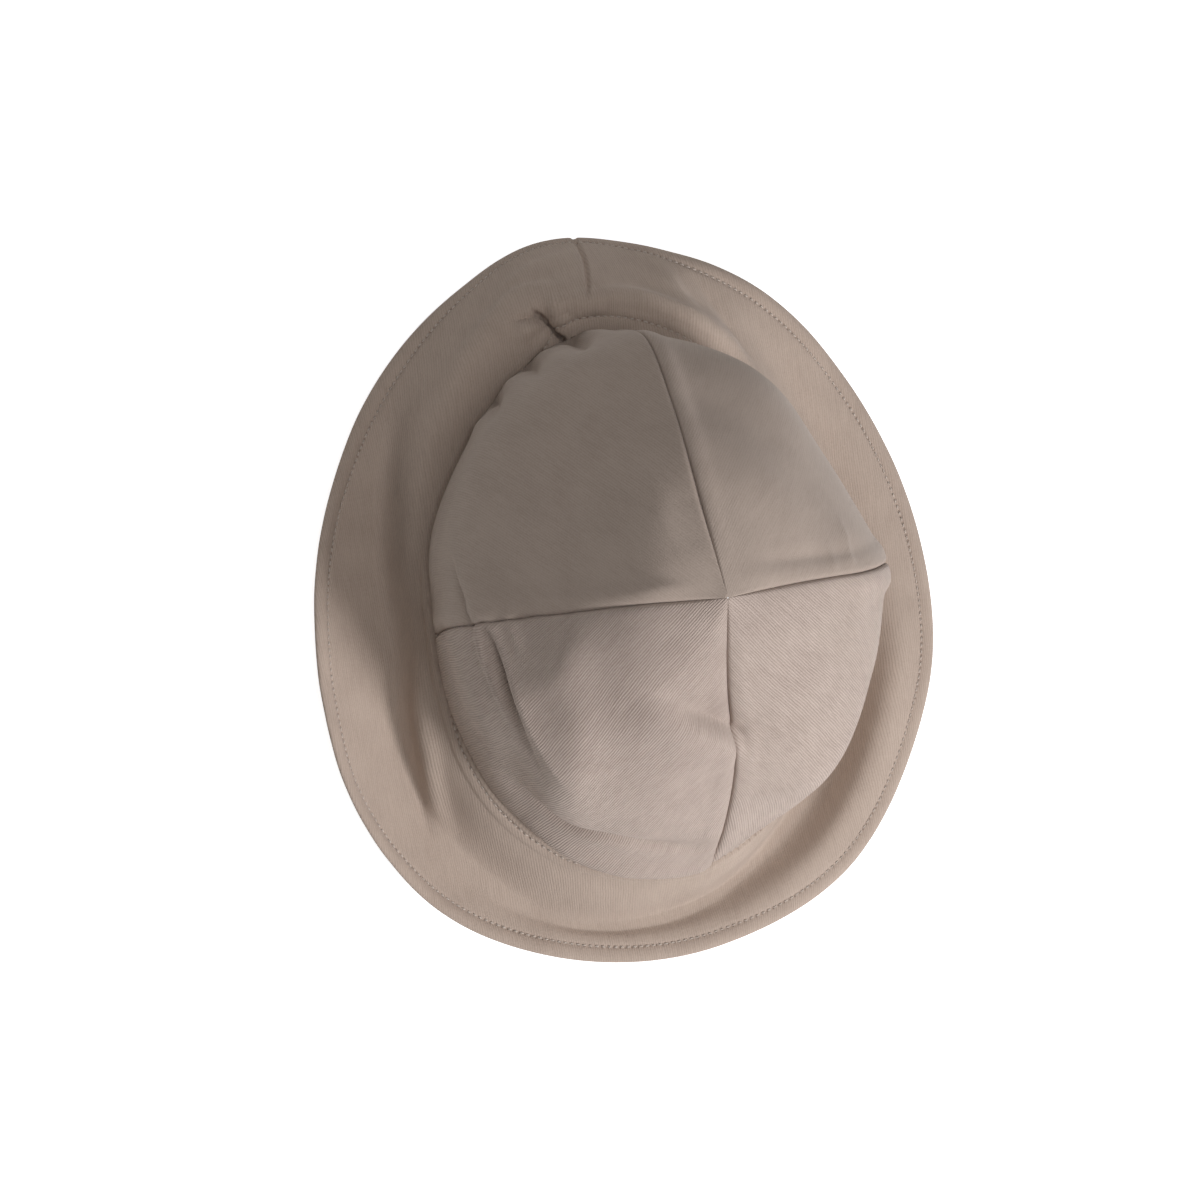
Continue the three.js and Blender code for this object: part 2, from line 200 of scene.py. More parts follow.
BRIM_FOLDS = (
    # the pleat beside the strip's rounded end, and the puckers that run into it
    Fold(3.4, 2.4, ((100.5, 1.1, 0), (99.2, 0.8, -2.6), (98, 0.46, -4.0), (97, 0.17, -3.6),
                    (96, 0, -1.6))),
    Fold(2.0, 2.0, ((106, 1.05, 0), (103, 0.92, -1.5), (100, 0.75, -1.5))),
    Fold(2.0, 2.0, ((106, 0.5, 0), (103.5, 0.6, 1.3), (101.4, 0.62, 1.2))),
    # the strip beside the crown, with the ridge outside it
    Fold(2.2, 3.2, ((95.4, 0.1, 0.8), (96.2, 0.5, 1.9), (95.6, 0.88, 2.2), (92, 0.92, 1.8),
                    (88, 0.98, 1.7), (82, 1.22, 1.8), (76, 1.28, 1.8), (70, 1.12, 1.6), (62, 0.95, 1.3),
                    (54, 1.05, 0))),
    Fold(3.4, 3.4, ((94.5, 0.45, -0.5), (88, 0.48, -0.9), (80, 0.58, -1.1), (70, 0.5, -1.0),
                    (56, 0.4, 0))),
    # the ridge left of the pleat, and the hips of the turned-down back
    Fold(4.0, 2.6, ((94, 1.35, 0.4), (99, 1.62, 1.5), (103, 1.62, 1.7), (109, 1.3, 1.6), (117, 1.12, 1.2),
                    (126, 1.0, 0))),
    Fold(6.0, 2.6, ((90, 2.75, 0.3), (95, 2.55, 1.0), (100, 2.3, 1.0), (105, 1.95, 0.3))),
    Fold(3.4, 6.0, ((74, 3.2, 0.3), (72, 2.45, 1.2), (69, 1.6, 1.6), (63, 1.2, 1.2), (56, 1.2, 0))),
    Fold(3.0, 2.6, ((69, 3.1, 0), (64, 2.4, -1.1), (59, 1.8, -1.4), (54, 1.45, -1.0), (48, 1.3, 0))),
    Fold(8, 8, ((60, 3.4, 0), (40, 3.3, 0.6), (15, 3.3, 0.4))),
    # the shelf beside the crown's left front, which drops steeply into the gutter
    Fold(3.6, 4.6, ((184, 0.95, 0.4), (193, 1.1, 1.6), (202, 1.2, 2.5), (211, 1.4, 2.9), (218, 1.7, 2.2),
                    (225, 2.0, 0))),
    # the swell outside the gutter at the front right
    Fold(6, 5, ((280, 2.9, 0), (292, 2.8, 2.2), (305, 2.75, 3.4), (320, 2.8, 3.4), (336, 2.9, 2.0),
                (350, 3.0, 0))),
)
BRIM_CREASES = (    # too narrow for the brim's thickness to round them off
    Fold(0.8, 0.8, ((101, 1.1, 0), (99.4, 0.8, -2.4), (98.1, 0.46, -4.6), (97, 0.17, -5.4),
                    (95.8, 0, -5.0))),
    Fold(0.6, 0.6, ((105.5, 1.02, 0), (103, 0.92, -0.9), (100.2, 0.78, -1.4))),
    Fold(0.6, 0.6, ((104, 0.72, 0), (102, 0.7, -0.6), (100, 0.62, -0.9))),
    # where the left side's gutter runs out
    Fold(1.8, 1.2, ((190, 2.05, 0), (200, 1.95, -0.5), (211, 2.05, -1.3), (217, 2.2, -1.3),
                    (222, 2.38, 0))),
    # the brim's own seam, at the back
    Fold(0.7, 0.7, ((86.8, 3.95, -0.9), (87.5, 2.7, -1.6), (89, 1.5, -1.6), (90, 1.02, -1.2))),
)


def spline(points: Array, at: Array, closed: bool) -> Array:
    """Evaluates a uniform Catmull-Rom curve.

    Args:
        points: the points it runs through, along the first axis.
        at: the places to evaluate, counted in points.
        closed: whether the last point joins the first.

    Returns:
        The curve's points, with at's length as their first axis.
    """
    count = len(points)
    if closed:
        first = np.floor(at).astype(int)
        taken = [points[(first + step) % count] for step in (-1, 0, 1, 2)]
    else:
        first = np.clip(np.floor(at).astype(int), 0, count - 2)
        padded = np.concatenate([2 * points[:1] - points[1:2], points, 2 * points[-1:] - points[-2:-1]])
        taken = [padded[first + step] for step in range(4)]
    t = (at - first).reshape((-1,) + (1,) * (points.ndim - 1))
    before, here, there, beyond = taken
    return 0.5 * (2 * here + (there - before) * t + (2 * before - 5 * here + 4 * there - beyond) * t ** 2
                  + (beyond - 3 * there + 3 * here - before) * t ** 3)


def smoothstep(value: Array, low: float, high: float) -> Array:
    """A smooth rise from 0 at low to 1 at high."""
    t = np.clip((value - low) / (high - low), 0, 1)
    return t * t * (3 - 2 * t)


def unit(vectors: Array) -> Array:
    """The vectors scaled to a length of one."""
    return vectors / np.maximum(np.linalg.norm(vectors, axis=-1, keepdims=True), TINY)


def arc_lengths(points: Array, axis: int = 0) -> Array:
    """How far along its line each point lies, where the lines of points run along one axis."""
    steps = np.diff(points, axis=axis, prepend=np.take(points, [0], axis))
    return np.cumsum(np.linalg.norm(steps, axis=-1), axis)


def along(line: Array, reach: Array, at: float | Array) -> Array:
    """The points at some places along a line, from how far along it its own points lie."""
    return np.stack([np.interp(at, reach, line[:, axis]) for axis in range(3)], -1)


def on_circle(angle: float, pair: Pair) -> Array:
    """The point in mm at an angle in degrees, from its distance and height."""
    turn = math.radians(angle)
    return np.array([pair[0] * math.cos(turn), pair[0] * math.sin(turn), pair[1]])


def brim_points() -> Array:
    """The brim's points in the table of sections, levels first."""
    return np.array([[on_circle(s.angle, getattr(s, level)) for s in SECTIONS] for level in BRIM_LEVELS])


def angle_at(place: Array) -> Array:
    """The direction in degrees at a place counted in sections round the hat."""
    angles = [section.angle for section in SECTIONS]
    turns = np.floor(np.asarray(place) / len(angles))
    start = place - turns * len(angles)
    return np.interp(start, range(len(angles) + 1), angles + [angles[0] + 360]) + 360 * turns


def grid_normals(grid: Array, closed: bool) -> Array:
    """Unit normals of a grid of points.

    Args:
        grid: points with the columns going round the hat and the rows going up or inwards.
        closed: whether the last column joins the first.

    Returns:
        The normals, pointing out of the hat.
    """
    if closed:
        around = np.roll(grid, -1, 0) - np.roll(grid, 1, 0)
    else:
        around = np.gradient(grid, axis=0)
    return unit(np.cross(around, np.gradient(grid, axis=1)))


class Cloth(NamedTuple):
    """A stretch of cloth: its points, columns first, and where each lies in the hat's tables."""

    grid: Array
    normals: Array
    angle: Array    # each column's direction in degrees, rising
    level: Array    # each point's level, rising or falling along a column
    above: Array    # how far along its column each point lies before any folds, mm

    def at(self, angle: float, level: float) -> Array:
        """The point of the cloth in a direction and at a level."""
        column = np.interp(angle, self.angle, np.arange(len(self.angle)))
        first = min(int(column), len(self.angle) - 2)
        share = column - first
        levels, line = (part[first] * (1 - share) + part[first + 1] * share
                        for part in (self.level, self.grid))
        return along(line, levels, level)


def fold_line(fold: Fold, cloths: list[Cloth]) -> tuple[Array, Array]:
    """A fold's line on the cloth.

    Args:
        fold: the fold.
        cloths: the stretches of cloth that it may cross.

    Returns:
        Points along the line in mm, and the fold's height at each.
    """
    knots = np.array(fold.knots)
    steps = np.linspace(0, len(knots) - 1, FOLD_STEPS * (len(knots) - 1) + 1)
    points = []
    for angle, level, _ in spline(knots, steps, False):
        for cloth in cloths:
            turned = cloth.angle[0] + (angle - cloth.angle[0]) % 360
            if turned <= cloth.angle[-1]:
                points.append(cloth.at(turned, level))
                break
    return np.array(points), np.interp(steps, range(len(knots)), knots[:, 2])


def fold_heights(folds: tuple[Fold, ...], cloths: list[Cloth], grid: Array,
                 normals: Array) -> Array:
    """How far the folds lift each point of a grid.

    Args:
        folds: the folds that cross the cloth.
        cloths: the stretches of cloth that the folds' knots are placed on.
        grid: the points to lift.
        normals: the cloth's outward normals there.

    Returns:
        The heights in mm, in the grid's shape.
    """
    total = np.zeros(grid.shape[:-1])
    for fold in folds:
        line, heights = fold_line(fold, cloths)
        reach = fold.crest.value * max(fold.near, fold.far)
        near = np.all((grid > line.min(0) - reach) & (grid < line.max(0) + reach), axis=-1)
        points, up = grid[near], normals[near]
        nearest = np.full(len(points), np.inf)
        lift = np.zeros(len(points))
        for start, end, here, there in zip(line, line[1:], heights, heights[1:]):
            step = end - start
            t = np.clip((points - start) @ step / (step @ step), 0, 1)
            away = points - start - t[:, None] * step
            distance = np.linalg.norm(away, axis=1)
            length = np.maximum(distance * np.linalg.norm(step), TINY)
            left = np.sum(np.cross(up, step) * away, axis=1) / length
            share = distance / (fold.far + (fold.near - fold.far) * (0.5 + 0.5 * np.clip(left, -1, 1)))
            if fold.crest is Crest.CRISP:
                fall = np.exp(CRISP_TIP - np.hypot(share, CRISP_TIP))
            else:
                fall = np.exp(-share ** 2)
            closer = distance < nearest
            nearest = np.where(closer, distance, nearest)
            lift = np.where(closer, (here + (there - here) * t) * fall, lift)
        total[near] += lift
    return total


@dataclass(frozen=True)
class Ripple:
    """Smooth seeded unevenness, as limp cloth has it."""

    seed: int
    size: float      # distance between swells, mm
    height: float    # usual height of a swell, mm
    cells: int = 24

    def at(self, points: Array) -> Array:
        """The ripple's height in mm at each point."""
        lattice = np.random.default_rng(self.seed).standard_normal((self.cells,) * 3)
        spots = points / self.size
        first = np.floor(spots).astype(int)
        t = smoothstep(spots - first, 0, 1)
        total = np.zeros(points.shape[:-1])
        for corner in np.ndindex(2, 2, 2):
            share = np.prod([t[..., k] if corner[k] else 1 - t[..., k] for k in range(3)], axis=0)
            x, y, z = ((first[..., k] + corner[k]) % self.cells for k in range(3))
            total += lattice[x, y, z] * share
        return total * self.height


# ---- Meshes --------------------------------------------------------------------------------

def to_frame(points: Array) -> Array:
    """Points in mm round the hat's axis, as metres in the frame's axes."""
    return (points - CENTRE) * MILLIMETRE


def grid_corners(columns: int, rows: int) -> Array:
    """The four (column, row) corners of every face of a grid, from its numbers of faces."""
    i, j = np.indices((columns, rows)).reshape(2, -1)
    return np.stack([np.stack(pair, 1) for pair in ((i, j), (i + 1, j), (i + 1, j + 1), (i, j + 1))], 1)


def loop_faces(loop: Array, closed: bool) -> tuple[Array, Array]:
    """The faces of a cloth whose every column runs up one side and down the other.

    Args:
        loop: its points, columns first.
        closed: whether the last column joins the first.

    Returns:
        Each face's (column, row) corners, not yet wrapped round, and its vertex numbers.
    """
    columns, count = loop.shape[:2]
    corners = grid_corners(columns if closed else columns - 1, count)
    return corners, (corners[..., 0] % columns) * count + corners[..., 1] % count


def make_piece(name: str, material: bpy.types.Material, points: Array, quads: Array,
               maps: dict[str, Array]) -> bpy.types.Object:
    """Makes one smooth mesh that rides on the hat.

    Args:
        name: the piece's name.
        material: what it is made of.
        points: its vertices in mm.
        quads: its faces, four vertex numbers to a row.
        maps: UV maps by name, each with a (u, v) for every corner of every face.

    Returns:
        The new object.
    """
    mesh = bpy.data.meshes.new(name)
    mesh.from_pydata(to_frame(points.reshape(-1, 3)).tolist(), [], quads.tolist())
    for title, corners in maps.items():
        layer = mesh.uv_layers.new(name=title)
        layer.data.foreach_set("uv", corners.astype(np.float32).ravel())
    mesh.shade_smooth()
    mesh.update()
    mesh.materials.append(material)
    piece = bpy.data.objects.new(name, mesh)
    bpy.context.scene.collection.objects.link(piece)
    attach(piece, BODY)
    return piece


# ---- Finishes ------------------------------------------------------------------------------

def linear(colour: str) -> tuple[float, float, float, float]:
    """Turns an sRGB hex colour into linear light.

    Args:
        colour: six hex digits.

    Returns:
        Red, green, blue and an opaque alpha.
    """
    parts = [int(colour[k:k + 2], 16) / 255 for k in (0, 2, 4)]
    red, green, blue = (c / 12.92 if c <= 0.04045 else ((c + 0.055) / 1.055) ** 2.4 for c in parts)
    return red, green, blue, 1.0


def new_material(name: str) -> tuple[bpy.types.Material, Tree]:
    """A new material and its empty node tree."""
    material = bpy.data.materials.new(name)
    material.use_nodes = True
    material.node_tree.nodes.clear()
    return material, material.node_tree


def add(tree: Tree, kind: str, settings: dict, links: dict) -> Node:
    """Adds a node with its settings and links.

    Args:
        tree: the material's node tree.
        kind: the node's type, without "ShaderNode".
        settings: attributes by name, and socket values by name or number.
        links: what feeds each input, by the input's name or number: a socket, or a node's first one.

    Returns:
        The new node.
    """
    node = tree.nodes.new("ShaderNode" + kind)
    for name, value in settings.items():
        if isinstance(name, str) and hasattr(node, name):
            setattr(node, name, value)
        else:
            node.inputs[name].default_value = value
    for name, source in links.items():
        socket = source.outputs[0] if isinstance(source, Node) else source
        tree.links.new(socket, node.inputs[name])
    return node


def maths(tree: Tree, operation: str, *terms: Source | float) -> Node:
    """Adds a Math node that works on numbers and on other nodes' values."""
    numbers = {k: term for k, term in enumerate(terms) if isinstance(term, (int, float))}
    links = {k: term for k, term in enumerate(terms) if k not in numbers}
    return add(tree, "Math", {"operation": operation, **numbers}, links)


def remap(tree: Tree, value: Source, given: Pair, wanted: Pair) -> Node:
    """Adds a node that turns one range of a value into another."""
    return add(tree, "MapRange", {"From Min": given[0], "From Max": given[1], "To Min": wanted[0],
                                  "To Max": wanted[1]}, {"Value": value})


def noise(tree: Tree, place: Source, scale: float, detail: float,
          roughness: float = 0.5) -> Node:
    """Adds cloudy noise, whose scale counts its cells in one unit of the place."""
    return add(tree, "TexNoise", {"Scale": scale, "Detail": detail, "Roughness": roughness},
               {"Vector": place})


def two_tone(tree: Tree, share: Source, low: str, high: str) -> bpy.types.NodeSocket:
    """Blends two hex colours, from low where the share is 0 to high where it is 1."""
    settings = {"data_type": "RGBA", 6: linear(low), 7: linear(high)}
    return add(tree, "Mix", settings, {0: share}).outputs[2]


def cover(tree: Tree, settings: dict, links: dict) -> None:
    """Adds the surface that the other nodes lead to."""
    surface = add(tree, "BsdfPrincipled", settings, links)
    add(tree, "OutputMaterial", {}, {"Surface": surface})


@dataclass(frozen=True)
class BrushedCottonJersey:
    """Cotton jersey, knitted fine and brushed to a short nap.

    The knit's ribs, called wales, run one way and show as fine lines: they are bumped, and their
    colour has painted shade between them and a painted highlight on them. The nap scatters light
    so that the cloth looks matt and a little pale at its edges. Heathered yarn gives faint
    streaks along the wales. Where it is stitched, needle holes are sunk and painted shade darkens them.
    """

    name: str
    colour: str
    # deep is the colour at the dark end of the tones: painted shade between the ribs and in the needle
    # holes, and the darker heather, nap and wear
    deep: str                    # between the ribs
    wale: float = 0.78           # distance between two ribs, mm
    rib: float = 0.13            # height of a rib, mm
    # The furrow and crest values paint the ribs' relief into the colour: painted shade between two ribs, a
    # painted highlight on each rib.
    furrow_shade: float = 0.76         # how dark the cloth is between two ribs, of its own shade
    crest: float = 1.07          # how light it is on a rib
    wander: Pair = (0.07, 1.2)   # how the ribs wander: swings in a mm, and how far, mm
    streak: float = 0.10         # how much the heather lightens and darkens
    streaks: tuple[float, float, float] = (1.1, 0.12, 1.0)   # its streaks in a mm, thin across the wales
    nap: Pair = (1.6, 0.07)      # the nap's tufts in a mm, and how much they lighten and darken
    nap_height: float = 0.10     # mm
    patch: Pair = (0.06, 0.05)   # the same for broad patches of wear
    mottle: Pair = (0.3, 0.7)    # the range that most of a noise's values lie in
    tones: Pair = (0.6, 1.1)     # the tones that come out wholly deep and wholly light
    hole: Pair = (0.1, 0.7)      # a needle hole's flat middle and its edge, mm from its centre
    # how dark the painted shade in a needle hole's middle is, as a share of the cloth's tone
    hole_shade: float = 0.68
    hole_depth: float = 0.5      # mm at most
    stitched: bool = False

    def make(self) -> bpy.types.Material:
        """Makes the material, which reads the maps "knit", "rim" and "foot" in millimetres."""
        material, tree = new_material(self.name)
        knit = add(tree, "UVMap", {"uv_map": "knit"}, {})
        across = add(tree, "SeparateXYZ", {}, {0: knit})
        bent = maths(tree, "MULTIPLY_ADD", noise(tree, knit, self.wander[0], 2.0), self.wander[1], across)
        wave = maths(tree, "SINE", maths(tree, "MULTIPLY", bent, math.pi / self.wale))
        ribs = maths(tree, "ABSOLUTE", wave)
        heather = add(tree, "Mapping", {"Scale": self.streaks}, {"Vector": knit})
        nap = noise(tree, knit, self.nap[0], 3.0, 0.65)
        # Painted shade between the ribs and a painted highlight on them, then the heather, nap and wear,
        # which are the yarn's own tones.
        tone = remap(tree, ribs, (0.0, 1.0), (self.furrow_shade, self.crest))
        for pattern, swing in ((noise(tree, heather, 1.0, 3.0, 0.6), self.streak), (nap, self.nap[1]),
                               (noise(tree, knit, self.patch[0], 3.0), self.patch[1])):
            tone = maths(tree, "MULTIPLY", tone, remap(tree, pattern, self.mottle, (1 - swing, 1 + swing)))
        height = maths(tree, "MULTIPLY", ribs, self.rib)
        height = maths(tree, "MULTIPLY_ADD", nap, self.nap_height, height)
        if self.stitched:
            for seam, pitch in (("rim", RIM_STITCH), ("foot", FOOT_STITCH)):
                hole = self.needle_holes(tree, seam, pitch)
                # Painted shade darkens each needle hole, and the bump sinks it.
                tone = maths(tree, "MULTIPLY", tone, hole)
                height = maths(tree, "MULTIPLY_ADD", hole, self.hole_depth, height)
        colour = two_tone(tree, remap(tree, tone, self.tones, (0.0, 1.0)), self.deep, self.colour)
        bump = add(tree, "Bump", {"Strength": 1.0, "Distance": MILLIMETRE}, {"Height": height})
        cover(tree, {"Roughness": 0.93, "IOR": 1.46, "Specular IOR Level": 0.2, "Sheen Weight": 0.22,
                     "Sheen Roughness": 0.55, "Sheen Tint": linear("efe4da")},
              {"Base Color": colour, "Normal": bump})
        return material

    def needle_holes(self, tree: Tree, seam: str, pitch: float) -> Node:
        """Draws the row of dents where a needle went in.

        Args:
            tree: the material's node tree.
            seam: the UV map that runs along the row, with the row at v = 0.
            pitch: distance between two dents, mm.

        Returns:
            A node whose value is 1 on plain cloth and falls towards the middle of a dent, where it sinks
            the bump and darkens the colour with painted shade.
        """
        axes = add(tree, "SeparateXYZ", {}, {0: add(tree, "UVMap", {"uv_map": seam}, {})})
        along_row = maths(tree, "PINGPONG", axes, pitch / 2)
        flat = add(tree, "CombineXYZ", {}, {0: along_row, 1: axes.outputs[1]})
        distance = add(tree, "VectorMath", {"operation": "LENGTH"}, {0: flat}).outputs["Value"]
        hole = remap(tree, distance, self.hole, (self.hole_shade, 1.0))
        hole.interpolation_type = "SMOOTHSTEP"
        return hole


@dataclass(frozen=True)
class CottonThread:
    """Spun cotton sewing thread: matt, with a fine twist that shows as slanting lines."""

    name: str
    colour: str
    # deep is the painted shade in the twist's grooves
    deep: str
    twist: float = 0.5       # length of one turn, mm
    relief: float = 0.05     # height of the twist's lines, mm

    def make(self) -> bpy.types.Material:
        """Makes the material, which reads the map "twist" in millimetres."""
        material, tree = new_material(self.name)
        axes = add(tree, "SeparateXYZ", {}, {0: add(tree, "UVMap", {"uv_map": "twist"}, {})})
        slant = maths(tree, "ADD", axes, axes.outputs[1])
        plies = maths(tree, "SINE", maths(tree, "MULTIPLY", slant, math.tau / self.twist))
        # Painted shade: the twist's grooves are coloured deep, and the plies keep the thread's colour.
        colour = two_tone(tree, remap(tree, plies, (-1.0, 1.0), (0.0, 1.0)), self.deep, self.colour)
        bump = add(tree, "Bump", {"Strength": 0.6, "Distance": self.relief * MILLIMETRE}, {"Height": plies})
        cover(tree, {"Roughness": 0.8, "IOR": 1.5, "Sheen Weight": 0.1},
              {"Base Color": colour, "Normal": bump})
        return material


@dataclass(frozen=True)
class PaintedTable:
    """A sprayed matt white table top, plain so that nothing draws the eye from the hat."""

    name: str
    colour: str
    glow: float              # how bright the white studio round it makes it look
    bounce: float            # how much of that light reaches the hat
    peel: float = 400.0      # lumps of the spray's faint orange peel in a metre
    relief: float = 0.2      # their height, mm

    def make(self) -> bpy.types.Material:
        """Makes the material, with a faint orange-peel unevenness from the spray."""
        material, tree = new_material(self.name)
        peel = noise(tree, add(tree, "TexCoord", {}, {}).outputs["Object"], self.peel, 2.0)
        bump = add(tree, "Bump", {"Strength": 0.02, "Distance": self.relief * MILLIMETRE}, {"Height": peel})
        seen = add(tree, "LightPath", {}, {}).outputs["Is Camera Ray"]
        light = remap(tree, seen, (0.0, 1.0), (self.bounce, self.glow))
        cover(tree, {"Base Color": linear(self.colour), "Roughness": 0.9, "Specular IOR Level": 0.1,
                     "Emission Color": linear("ffffff")}, {"Normal": bump, "Emission Strength": light})
        return material


# ---- Brim ----------------------------------------------------------------------------------

@dataclass
class Brim:
    """The double brim: two layers of jersey, turned at the rim and topstitched on both edges."""

    columns: int = 640
    section_steps: int = 40        # from one section to the next, where the columns' places are worked out
    pleat_place: float = 3.3       # where the columns are closest together, counted in sections
    pleat_spread: float = 0.6
    pleat_crowd: float = 2.6
    dense: int = 240               # levels at which a section is first measured
    half: float = 1.0              # half the two layers' thickness, mm
    settle: float = 0.5            # how softly the cloth comes down on the table, mm
    rim_round: float = 2.2         # how far in from the rim the edge is rounded, mm
    hem: float = 5.0               # from the rim to its topstitching, mm
    hem_puff: Pair = (0.25, 1.6)   # how far the hem swells, and how broadly, mm
    hem_dip: Pair = (0.35, 0.7)    # how far the stitches pull the cloth in, and how broadly, mm
    flange: tuple[float, ...] = (4.0, 2.6, 1.2)    # rows of the edge that runs in under the crown, mm
    edge_rows: int = 22
    field_rows: int = 26
    edge_reach: float = 10.0       # cloth beside either edge that is drawn finely, mm
    edge_crowd: float = 1.35       # how the rows there draw together towards the edge
    topstitching: tuple[Pair, ...] = (   # direction, and mm from the crown to the topstitching
        (0, 0.4), (42, 1.4), (60, 4.2), (74, 5.4), (92, 5.5), (96.5, 4.6), (101, 0.8), (106, -0.7),
        (200, -0.6), (212, 0.9), (236, 1.4), (246, 0.9), (255, -0.8), (280, -0.5), (300, 0.3))
    foot_dip: Pair = (0.45, 0.6)   # how far that topstitching pulls the cloth in, and how broadly, mm
    band_height: float = 0.5       # of the seam allowance that lifts the cloth beside the crown, mm
    band_end: Pair = (2.6, 3.7)    # where it runs out, mm outside the topstitching
    calm: Pair = (0.0, 8.0)        # where the uneven swells set in, mm from the crown
    flat: Pair = (0.250, 0.311)    # the cloth one C-shaped brim layer is cut from, metres
    flat_area: float = 0.0290      # one layer with its seam allowances, square metres
    finish: BrushedCottonJersey = BrushedCottonJersey(
        "brushed_cotton_jersey_brim", "b5a292", "8f7c6e", rib=0.06, furrow_shade=0.91, streak=0.06, stitched=True)
    swells: tuple[Ripple, ...] = (Ripple(11, 26.0, 0.30), Ripple(12, 9.0, 0.07))
    middle: Array = field(init=False, repr=False)     # the surface between the layers, columns first
    normals: Array = field(init=False, repr=False)
    reach: Array = field(init=False, repr=False)      # each point's distance from the crown, mm
    length: Array = field(init=False, repr=False)     # each column's, from the crown to the rim
    angle: Array = field(init=False, repr=False)      # each point's direction in degrees
    crease: Array = field(init=False, repr=False)     # how far the creases lift each point, mm

    def places(self) -> Array:
        """The columns' places round the hat, closer together at the pleat, the first again at the end."""
        fine = np.linspace(0, len(SECTIONS), self.section_steps * len(SECTIONS) + 1)
        crowd = 1 + self.pleat_crowd * np.exp(-((fine - self.pleat_place) / self.pleat_spread) ** 2)
        counted = np.concatenate([[0], np.cumsum(0.5 * (crowd[1:] + crowd[:-1]))])
        return np.interp(np.linspace(0, counted[-1], self.columns + 1), counted, fine)

    def topstitch(self, angle: Array) -> Array:
        """How far the topstitching runs from the crown at each direction, mm."""
        return np.interp(angle, *zip(*self.topstitching), period=360)

    def shape(self) -> None:
        """Works out the middle surface on rows that are fine beside both edges."""
        places = self.places()
        levels = np.linspace(0, BRIM_SPAN, self.dense)
        profiles = spline(brim_points(), levels, False)
        surface = spline(np.swapaxes(profiles, 0, 1), places[:-1], True)
        arcs = arc_lengths(surface, 1)
        self.length = arcs[:, -1]
        near = self.edge_reach * np.linspace(0, 1, self.edge_rows) ** self.edge_crowd
        flange = np.array(self.flange)
        grid, reach, level_grid = [], [], []
        for arc, column in zip(arcs, surface):
            field_part = np.linspace(near[-1], arc[-1] - near[-1], self.field_rows + 2)[1:-1]
            rows = np.concatenate([near, field_part, arc[-1] - near[::-1]])
            line = along(column, arc, rows)
            inward = -line[0] / np.hypot(line[0, 0], line[0, 1]) * (1, 1, 0)
            reach.append(np.concatenate([-flange, rows]))
            level_grid.append(np.interp(reach[-1], arc, levels))
            grid.append(np.concatenate([line[0] + inward * flange[:, None], line]))
        grid, self.reach, level = np.array(grid), np.array(reach), np.array(level_grid)
        turns = angle_at(places)
        self.angle = np.broadcast_to(turns[:-1, None], level.shape)
        outward = -grid_normals(grid, True)
        wrap = np.arange(self.columns + 1) % self.columns
        whole = Cloth(grid[wrap], outward[wrap], turns, level[wrap], self.reach[wrap])
        lift = fold_heights(BRIM_FOLDS, [whole], grid, outward)
        lift += sum(ripple.at(grid) for ripple in self.swells) * smoothstep(self.reach, *self.calm)
        self.middle = grid + outward * lift[..., None]
        # Cloth that would sink into the table lies on it instead.
        above = self.middle[..., 2] - self.half - TABLE_CLEARANCE
        self.middle[..., 2] += 0.5 * (np.hypot(above, self.settle) - above)
        self.normals = -grid_normals(self.middle, True)
        self.crease = fold_heights(BRIM_CREASES, [whole], grid, outward)

    def half_thickness(self, upper: bool) -> Array:
        """Half the thickness at each point of one face, with its stitched dips and its rounded rim."""
        inward = self.length[:, None] - self.reach
        share = np.clip(inward / self.rim_round, 0, 1)
        puff = self.hem_puff[0] * np.exp(-((inward - self.hem / 2) / self.hem_puff[1]) ** 2)
        half = (self.half + puff) * np.sqrt(1 - (1 - share) ** 2)
        half -= self.hem_dip[0] * np.exp(-((inward - self.hem) / self.hem_dip[1]) ** 2)
        if upper:
            beyond = self.reach - self.topstitch(self.angle)
            half += self.band_height * (1 - smoothstep(beyond, *self.band_end))
            half -= self.foot_dip[0] * np.exp(-(beyond / self.foot_dip[1]) ** 2)
        return half

    def faces(self) -> tuple[Array, Array]:
        """The upper and the lower face, columns first, kept clear of the table."""
        upper = self.middle + self.normals * (self.half_thickness(True) + self.crease)[..., None]
        lower = self.middle - self.normals * (self.half_thickness(False) - self.crease)[..., None]
        for face in (upper, lower):
            face[..., 2] = np.maximum(face[..., 2], TABLE_CLEARANCE)
        return upper, lower

    def line(self, distance: Array, upper: bool) -> tuple[Array, Array]:
        """A line on one of the brim's faces.

        Args:
            distance: how far out from the crown the line runs in each column, mm.
            upper: whether it lies on the upper face.

        Returns:
            The line's points and the cloth's normals there.
        """
        face = self.faces()[0 if upper else 1]
        normals = self.normals if upper else -self.normals
        points, up = (np.array([along(column, reach, at) for at, reach, column in
                                zip(distance, self.reach, grid)]) for grid in (face, normals))
        return points, unit(up)

    def stitch_run(self, row: int, pitch: float) -> Array:
        """Distances round a row, stretched a little to take a whole number of stitches."""
        run = arc_lengths(np.concatenate([self.middle[:, row], self.middle[:1, row]]))
        return run * (round(run[-1] / pitch) * pitch / run[-1])

